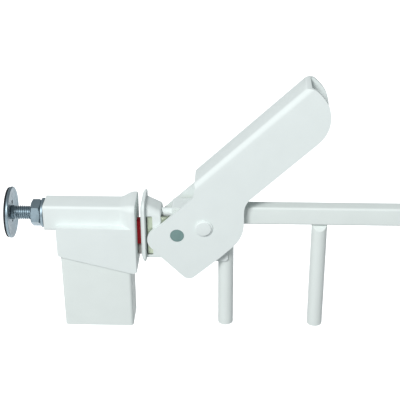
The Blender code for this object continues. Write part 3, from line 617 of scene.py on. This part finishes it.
def make_skirt():
    """The housing's deep part, with its upright corners rounded as seen from above."""
    side = filleted([
        (HOUSING_STEP, HOUSING_LEDGE, 1.3),
        (HOUSING_FACE, HOUSING_LEDGE, 0.0),
        (HOUSING_FACE, HOUSING_LOW_RIGHT, 1.4),
        (HOUSING_TOE, HOUSING_LOW_RIGHT, 3.0),
        (HOUSING_STEP, HOUSING_LOW_LEFT, 2.2),
    ])
    skirt = prism("skirt", side, "Y", -HOUSING_HALF_DEPTH, HOUSING_HALF_DEPTH, 1.1)
    left, right, deep = HOUSING_STEP - 0.02, HOUSING_FACE + 0.02, HOUSING_HALF_DEPTH + 0.02
    plan = filleted([(left, -deep, 1.2), (right, -deep, 0.9), (right, deep, 0.9), (left, deep, 1.2)])
    return combine(skirt, "INTERSECT", prism("plan", plan, "Z", -60, 20))


def make_flare(steps=18):
    """The square tube's growth into the face, with the face's edge rounded."""
    start, end = FLARE_X
    places = [start + (end - start) * k / steps for k in range(steps + 1)]
    rings = [flare_ring(x, flare_sizes(x)) for x in places]
    for back, inset in ((0.8, 0.0), (0.4, 0.1), (0.15, 0.3), (0.01, 0.7)):
        rings.append(flare_ring(HOUSING_FACE - back, flare_sizes(end), inset))
    return loft("flare", rings)


def make_housing():
    """A square spindle tube that flares over a deep cap, hollow below for the post."""
    square = rounded_box_outline((-TUBE_HALF, -TUBE_HALF), (TUBE_HALF, TUBE_HALF), TUBE_CORNER)
    housing = prism("post_housing_skin", square, "X", HOUSING_LEFT, HOUSING_FACE - 1.0, 0.6, (True, False))
    combine(housing, "UNION", make_skirt(), make_flare())
    pocket_x, pocket_y = (POST_X[0] - GAP, POST_X[1] + GAP), POST_HALF_DEPTH + GAP
    slot_y = (-SLOT_HALF, SLOT_HALF)
    cut(
        housing,
        box("pocket", pocket_x, (-pocket_y, pocket_y), (-80, POST_Z[1] + GAP)),
        rod("bore", "X", (0, 0), LOOSE_BORE, 20, 83.0),
        rod("bush_seat", "X", (0, 0), BUSH_SEAT_RADIUS, 20, BUSH_SEAT_END),
        box("tab_slot", (83.4, 95), slot_y, (-24.5, -3.6)),
        box("nose_slot", (85.9, 95), slot_y, (-32.2, -22.0)),
    )
    for centre in HOUSING_SCREWS:
        cut(housing, rod("screw_hole", "Y", centre, HOUSING_SCREW_BORE, 8, 20, 24))
        cut(housing, rod("screw_head", "Y", centre, HOUSING_HEAD_SEAT, 13.3, 20, 40))
    show(housing)


def pan_screw(name, centre, tip, head, radius, shank):
    """A screw along Y with its head at the back and a cross recess."""
    under = head - 0.8
    point = [(tip, 0), (tip + 0.8, shank * 0.7), (tip + 1.6, shank), (under, shank), (under, radius)]
    crown = [(head - 0.35, radius), (head - 0.08, radius * 0.75), (head, radius * 0.4), (head, 0)]
    screw = turned(name, "Y", centre, point + crown, 40)
    x, z = centre
    arm = radius * 0.62
    for half_x, half_z in ((arm, 0.3), (0.3, arm)):
        cut(screw, box("recess", (x - half_x, x + half_x), (head - 0.6, head + 1), (z - half_z, z + half_z)))
    return show(screw)


def make_indicator():
    """The red tab and the stem that its spring pushes on."""
    tab = box("pressure_indicator_skin", TAB_X, (-TAB_HALF, TAB_HALF), TAB_Z, 0.7)
    combine(tab, "UNION", rod("stem", "X", (0, STEM_Z), STEM_RADIUS, STEM_START, TAB_X[0] + 1.0, 40))
    show(tab)


# ---------------------------------------------------------------- clamping cap


def plate_ring(x, inset):
    """The face plate's section at x, drawn in by inset."""
    low = (-CAP_HALF_DEPTH + inset, CAP_Z[0] + inset)
    high = (CAP_HALF_DEPTH - inset, CAP_Z[1] - inset)
    return [lift_point(p, "X", x) for p in rounded_box_outline(low, high, CAP_CORNER - inset * 0.5)]


def boss_ring(x, top, inset):
    """The boss's section at x, with well rounded shoulders."""
    half, bottom = BOSS_HALF_DEPTH - inset, BOSS_BOTTOM + inset
    outline = filleted([
        (-half, bottom, 1.2),
        (half, bottom, 1.2),
        (half, top - inset, BOSS_SHOULDER),
        (-half, top - inset, BOSS_SHOULDER),
    ])
    return [lift_point(p, "X", x) for p in outline]


def make_boss():
    """The boss behind the plate, whose top slopes down to a rounded rear edge."""
    slope = (BOSS_TOP_START - BOSS_TOP_END) / (BOSS_END - CAP_BACK)
    rings = [boss_ring(x, BOSS_TOP_START, 0.0) for x in (BOSS_START, CAP_BACK)]
    for back, inset in ((1.3, 0.0), (0.8, 0.1), (0.4, 0.38), (0.12, 0.8), (0.0, 1.3)):
        rings.append(boss_ring(BOSS_END - back, BOSS_TOP_END + slope * back, inset))
    return loft("boss", rings)


def make_end_plate():
    """The cap's moulding: a slightly domed plate with a hollow boss, two windows and the nose's hole."""
    plate = loft("end_plate_skin", [plate_ring(CAP_FACE + back, inset) for back, inset in CAP_DOME])
    combine(plate, "UNION", make_boss())
    inside = (ROOM_START, BOSS_END + 5)
    cut(
        plate,
        box("hollow", inside, (-ROOM_HALF, ROOM_HALF), ROOM_Z),
        box("rod_seat", inside, (-3.6, 3.6), (2, ROD_Z + ROD_RADIUS + 0.2)),
    )
    window = rounded_box_outline((ROOM_START, WINDOW_Z[0]), (WINDOW_END, WINDOW_Z[1]), 0.8)
    for ys in ((-12, -8.3), (8.3, 12)):
        cut(plate, prism("window", window, "Y", *ys))
    hole_y, hole_z = NOSE_STEM_HALF + PLAY, (NOSE_STEM_Z[0] - PLAY, NOSE_STEM_Z[1] + PLAY)
    cut(plate, box("nose_hole", (CAP_FACE - PAST, CAP_BACK + PAST), (-hole_y, hole_y), hole_z))
    show(plate)


def make_nose():
    nose = box("cap_nose_skin", NOSE_X, (-NOSE_HALF, NOSE_HALF), NOSE_Z, 0.8)
    combine(nose, "UNION", box("stem", NOSE_STEM_X, (-NOSE_STEM_HALF, NOSE_STEM_HALF), NOSE_STEM_Z))
    show(nose)


def stud_at(degrees):
    """X and Z of the cheeks' studs after the handle has come down by so many degrees."""
    x, z = PIVOT
    u, v = STUD_UV
    turn = math.radians(LIFT_DEGREES - degrees)
    return x + u * math.cos(turn) - v * math.sin(turn), z + u * math.sin(turn) + v * math.cos(turn)


def cam_slot(steps=16):
    """The slot that a stud sweeps in a pull plate while the plate moves towards the wall."""
    width = STUD_RADIUS + 0.15
    path = []
    for k in range(steps + 1):
        x, z = stud_at(LIFT_DEGREES * k / steps)
        path.append(Vector((x + CAP_TRAVEL * k / steps, z)))
    left, right = [], []
    for k, point in enumerate(path):
        along = (path[min(k + 1, steps)] - path[max(k - 1, 0)]).normalized()
        across = Vector((-along.y, along.x)) * width
        left.append(tuple(point + across))
        right.append(tuple(point - across))
    ends = []
    for point, away in ((path[-1], path[-1] - path[-2]), (path[0], path[0] - path[1])):
        first = math.atan2(away.y, away.x) + math.pi / 2
        turns = [first - math.pi * k / 12 for k in range(1, 12)]
        ends.append([(point.x + width * math.cos(t), point.y + width * math.sin(t)) for t in turns])
    return left + ends[0] + right[::-1] + ends[1]


def make_pull_plate(side, word):
    near, far = sorted((side * PULL_Y[0], side * PULL_Y[1]))
    top = PULL_TOP[word]
    outline = filleted([
        (99.0, top, 0.0),
        (116.5, top, 1.0),
        (121.5, 8.1, 1.5),
        (129.4, 8.1, 1.0),
        (129.4, -15.4, 2.0),
        (114.2, -15.4, 1.5),
        (110.0, -9.5, 1.0),
        (107.5, -9.5, 1.0),
        (107.5, -27.0, 1.0),
        (99.0, -27.0, 0.0),
    ])
    plate = prism(f"pull_plate_{word}_skin", outline, "Y", near, far, 0.15, segments=2)
    cut(plate, prism("slot", cam_slot(), "Y", near - PAST, far + PAST))
    for centre in CROSS_PINS:
        cut(plate, rod("pin_hole", "Y", centre, PIN_BORE, near - PAST, far + PAST, 24))
    show(plate)


def make_push_rod():
    start, end = ROD_X
    profile = [(start, 0), (start, ROD_RADIUS), (end, ROD_RADIUS), (end, 0)]
    piece = turned("push_rod_skin", "X", (0, ROD_Z), softened(profile, 0.4))
    show(cut(piece, rod("screw_hole", "X", (0, ROD_Z), 1.4, end - 8, end + 1.4, 24)))


def make_coil(name, centre, radius, wire, start, end, turns, steps=30, sides=10):
    """A coil spring along X, lofted through rings of points along its wire."""
    count = turns * steps
    rings = []
    for k in range(count + 1):
        turn = 2 * math.pi * k / steps
        along = start + wire + (end - start - 2 * wire) * k / count
        outward = Vector((0, math.cos(turn), math.sin(turn)))
        middle = Vector((along, centre[0], centre[1])) + outward * radius
        rings.append([
            middle + wire * (outward * math.cos(a) + Vector((1, 0, 0)) * math.sin(a))
            for a in (2 * math.pi * side / sides for side in range(sides))
        ])
    piece = show(loft(name, rings))
    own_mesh(piece)


# ---------------------------------------------------------------- gate frame


def make_rail():
    low, high = (-RAIL_HALF_DEPTH, RAIL_Z[0]), (RAIL_HALF_DEPTH, RAIL_Z[1])
    tube = hollow_tube("rail_tube_skin", low, high, RAIL_WALL, RAIL_CORNER, "X", *RAIL_X)
    show(cut(tube, rod("screw_hole", "Y", RAIL_SCREW, 1.8, 0, 10, 24)))


def make_bar(name, x):
    """A round tube whose top is pinched flat, front and back, where it meets the rail."""
    top = RAIL_Z[0] - GAP
    bar = rod(name, "Z", (x, 0), BAR_RADIUS, BAR_BOTTOM, top)
    for side in (-1, 1):
        edge, thin = side * BAR_RADIUS, side * PINCH_HALF_DEPTH
        wedge = [
            (edge * 1.01, top - PINCH_HEIGHT),
            (edge * 3, top - PINCH_HEIGHT),
            (edge * 3, top + PAST),
            (thin, top + PAST),
            (thin, top),
        ]
        cut(bar, prism("pinch", wedge, "X", x - 8, x + 8))
    cut(bar, rod("hollow", "Z", (x, 0), BAR_RADIUS - BAR_WALL, BAR_BOTTOM - PAST, top - 7.5))
    soften_edges(bar, 0.25, 15, 3)
    show(bar)


def make_latch_body(side, word):
    """One half of the moulding on the rail's end. The rear half takes the screws' heads."""
    left, right = BODY_X
    bottom, top = BODY_Z
    outline = filleted([
        (left, top, 1.4),
        (SLEEVE_END, top, 1.0),
        (SLEEVE_END, SLEEVE_BOTTOM, 1.0),
        (right, SLEEVE_BOTTOM, 1.0),
        (right, bottom, 2.5),
        (left + 8.0, bottom, 3.0),
        (left, bottom + 14.0, 3.0),
    ])
    near, far = side * BODY_SPLIT, side * BODY_HALF_DEPTH
    half = prism(f"latch_body_{word}_skin", outline, "Y", near, far, 0.9, (False, True))
    inner = BODY_HALF_DEPTH - BODY_WALL
    cut(
        half,
        box("spring_room", (118.4, 133.6), (-inner, inner), (-3.15, top - BODY_WALL)),
        box("lower_room", (126.5, 145.5), (-inner, inner), (-31.6, -11.5)),
    )
    for centre in BODY_SCREWS:
        ys = sorted((near, side * (BODY_HALF_DEPTH - 1.0)))
        combine(half, "UNION", rod("column", "Y", centre, 3.4, *ys, 40))
    rail_y, bar_y = RAIL_HALF_DEPTH + GAP, BAR_RADIUS + GAP
    cut(
        half,
        rod("rod_bore", "X", (0, ROD_Z), ROD_RADIUS + 0.15, 110, 121),
        rod("pivot_bore", "Y", PIVOT, PIVOT_BORE, -10, 10),
        box("rail_seat", (RAIL_X[0] - GAP, 170), (-rail_y, rail_y), (RAIL_Z[0] - GAP, 20)),
        rod("bar_seat", "Z", (BAR_X[0], 0), bar_y, -50, RAIL_Z[0]),
        box("bar_mouth", (BAR_X[0], 170), (-bar_y, bar_y), (-50, SLEEVE_BOTTOM - 0.5)),
    )
    for centre in BODY_SCREWS + (RAIL_SCREW,):
        ys = sorted((-side, 12 if side > 0 else -5.2))
        cut(half, rod("screw_hole", "Y", centre, BODY_SCREW_BORE, *ys, 24))
        if side > 0:
            cut(half, rod("screw_head", "Y", centre, BODY_HEAD_SEAT, 6.0, 12, 40))
    show(half)


# ---------------------------------------------------------------- handle and pivot


def make_handle():
    """The channel-section lever, drawn lying shut about its pivot and then raised."""
    shell = prism("handle_shell_skin", filleted(HANDLE_CORNERS), "Y", -HANDLE_HALF, HANDLE_HALF, 1.3)
    wide, half, top = HANDLE_HALF + 1.0, HANDLE_HALF + 0.02, WEB_TOP + 0.02
    section = filleted([
        (-wide, -40, 0.0),
        (wide, -40, 0.0),
        (wide, 20, 0.0),
        (half, 20.5, 0.0),
        (half, top, SHOULDER),
        (-half, top, SHOULDER),
        (-half, 20.5, 0.0),
        (-wide, 20, 0.0),
    ])
    combine(shell, "INTERSECT", prism("section", section, "X", -60, 140))
    inner, under = HANDLE_HALF - CHEEK_WALL, WEB_TOP - WEB_WALL
    channel = filleted([(-inner, -60, 0.0), (inner, -60, 0.0), (inner, under, 1.6), (-inner, under, 1.6)])
    cut(
        shell,
        prism("channel", channel, "X", -80, 160),
        rod("pivot_hole", "Y", (0, 0), PIVOT_BORE, -20, 20),
        rod("stud_hole", "Y", STUD_UV, STUD_RADIUS + 0.1, -20, 20, 40),
    )
    for ys in ((-20, -11.4), (11.4, 20)):
        cut(shell, rod("stud_seat", "Y", STUD_UV, STUD_HEAD_RADIUS + 0.08, *ys))
    raised = Matrix.Rotation(-math.radians(LIFT_DEGREES), 4, "Y")
    shell.data.transform(Matrix.Translation(Vector((PIVOT[0], 0, PIVOT[1])) * MM) @ raised)
    soften_edges(shell, 0.35, 50, 3)
    show(shell)


def make_pivot(side, word):
    """One side's stud, pivot cover and spacer. Their profiles run outwards from the middle."""
    stud = [
        (7.45, 0),
        (7.45, STUD_RADIUS - 0.3),
        (7.75, STUD_RADIUS),
        (11.5, STUD_RADIUS),
        (11.5, STUD_HEAD_RADIUS),
        (12.9, STUD_HEAD_RADIUS),
        (12.95, STUD_HEAD_RADIUS - 0.2),
        (12.95, 0),
    ]
    show(turned(f"cam_stud_{word}_skin", "Y", stud_at(0), [(side * a, r) for a, r in stud]), STUD_STEEL)
    cover = softened([
        (6.0, 0),
        (6.0, 2.1),
        (6.4, 2.5),
        (13.15, 2.5),
        (13.15, COVER_RADIUS),
        (13.85, COVER_RADIUS),
        (13.85, COVER_STEP_RADIUS + 0.1),
        (15.0, COVER_STEP_RADIUS),
        (15.0, 0),
    ], 0.3)
    show(turned(f"pivot_cap_{word}_skin", "Y", PIVOT, [(side * a, r) for a, r in cover]))
    ys = sorted((side * 7.4, side * 10.35))
    show(ring_of(f"pivot_spacer_{word}_skin", "Y", PIVOT, 4.15, 7.8, *ys))


# ---------------------------------------------------------------- studio


def link(thing):
    bpy.context.scene.collection.objects.link(thing)
    return thing


def add_camera():
    """A long lens in front of the latch, looking down at it from a little to its right."""
    forward = Vector((-math.sin(YAW) * math.cos(PITCH), math.cos(YAW) * math.cos(PITCH), -math.sin(PITCH)))
    right = Vector((math.cos(YAW), math.sin(YAW), 0))
    up = right.cross(forward)
    turned_right = right * math.cos(ROLL) + up * math.sin(ROLL)
    turned_up = up * math.cos(ROLL) - right * math.sin(ROLL)
    data = bpy.data.cameras.new("camera")
    data.lens = 90
    data.sensor_width = 36
    camera = link(bpy.data.objects.new("camera", data))
    place = -forward * ORIGIN_DEPTH + turned_right * CAMERA_RIGHT + turned_up * CAMERA_UP
    axes = Matrix((turned_right, turned_up, -forward)).transposed().to_4x4()
    camera.matrix_world = Matrix.Translation(place * MM) @ axes
    bpy.context.scene.camera = camera


def add_key_light():
    """A soft square light in front, above and to the left, aimed at the middle of the latch."""
    data = bpy.data.lights.new("key", "AREA")
    data.shape = "SQUARE"
    data.size = KEY_SIZE
    data.energy = KEY_POWER
    lamp = link(bpy.data.objects.new("key", data))
    way = Vector(KEY_WAY).normalized()
    lamp.location = Vector(KEY_TARGET) + way * KEY_DISTANCE
    lamp.rotation_euler = way.to_track_quat("Z", "Y").to_euler()


def add_floor():
    """A pale floor well below the latch, with a light of its own that reaches nothing else."""
    mesh = bpy.data.meshes.new("floor")
    drop = CAD_BOX[0][2] - FLOOR_DROP
    corners = [(-1, -1), (1, -1), (1, 1), (-1, 1)]
    mesh.from_pydata([(x * FLOOR_REACH, y * FLOOR_REACH, drop) for x, y in corners], [], [(0, 1, 2, 3)])
    ground = link(bpy.data.objects.new("floor", mesh))
    pale = bpy.data.materials.new("pale_floor")
    pale.use_nodes = True
    shader = pale.node_tree.nodes["Principled BSDF"]
    shader.inputs["Base Color"].default_value = (0.9, 0.9, 0.9, 1)
    shader.inputs["Roughness"].default_value = 0.9
    shader.inputs["Specular IOR Level"].default_value = 0.0
    mesh.materials.append(pale)
    ground.visible_diffuse = False

    data = bpy.data.lights.new("floor_light", "SUN")
    data.energy = 3.2
    data.use_shadow = False
    lamp = link(bpy.data.objects.new("floor_light", data))
    only_floor = bpy.data.collections.new("floor_only")
    only_floor.objects.link(ground)
    lamp.light_linking.receiver_collection = only_floor


def add_world():
    """A dim, slightly cool surround that the camera sees as white."""
    world = bpy.data.worlds.new("studio")
    bpy.context.scene.world = world
    world.use_nodes = True
    tree = world.node_tree
    soft = tree.nodes["Background"]
    soft.inputs["Color"].default_value = (0.93, 0.97, 1.0, 1)
    soft.inputs["Strength"].default_value = 0.38
    seen = tree.nodes.new("ShaderNodeBackground")
    seen.inputs["Color"].default_value = (1, 1, 1, 1)
    path = tree.nodes.new("ShaderNodeLightPath")
    mix = tree.nodes.new("ShaderNodeMixShader")
    tree.links.new(path.outputs["Is Camera Ray"], mix.inputs["Fac"])
    tree.links.new(soft.outputs["Background"], mix.inputs[1])
    tree.links.new(seen.outputs["Background"], mix.inputs[2])
    tree.links.new(mix.outputs["Shader"], tree.nodes["World Output"].inputs["Surface"])


# ---------------------------------------------------------------- everything in place

for node, piece in frame["nodes"].items():
    piece.data.materials.clear()
    piece.data.materials.append(MATERIALS[SLOT_OF[node]])

add_camera()
add_floor()
add_world()
add_key_light()
bpy.context.scene.view_settings.view_transform = "Standard"

make_wall_pad()
make_spindle()
make_nut_and_washer()
make_post()
make_housing()
for number, centre in enumerate(HOUSING_SCREWS, 1):
    pan_screw(f"housing_screw_{number}_skin", centre, tip=5.6, head=14.3, radius=3.2, shank=1.5)
make_indicator()
make_coil(
    "indicator_spring_skin", (0, STEM_Z),
    radius=1.7, wire=0.35, start=68.3, end=76.9, turns=5,
)
make_end_plate()
make_nose()
for side, word in SIDES:
    make_pull_plate(side, word)
make_push_rod()
make_coil(
    "return_spring_skin", (0, ROD_Z),
    radius=4.1, wire=0.45, start=118.5, end=130.7, turns=6,
)
make_rail()
for number, x in enumerate(BAR_X, 1):
    make_bar(f"bar_{number}_skin", x)
for side, word in SIDES:
    make_latch_body(side, word)
for number, centre in enumerate(BODY_SCREWS, 1):
    pan_screw(f"body_screw_{number}_skin", centre, tip=-4.9, head=7.05, radius=2.8, shank=1.4)
pan_screw("rail_screw_skin", RAIL_SCREW, tip=-1.9, head=7.05, radius=2.8, shank=1.4)
make_handle()
for side, word in SIDES:
    make_pivot(side, word)

bpy.context.view_layer.update()
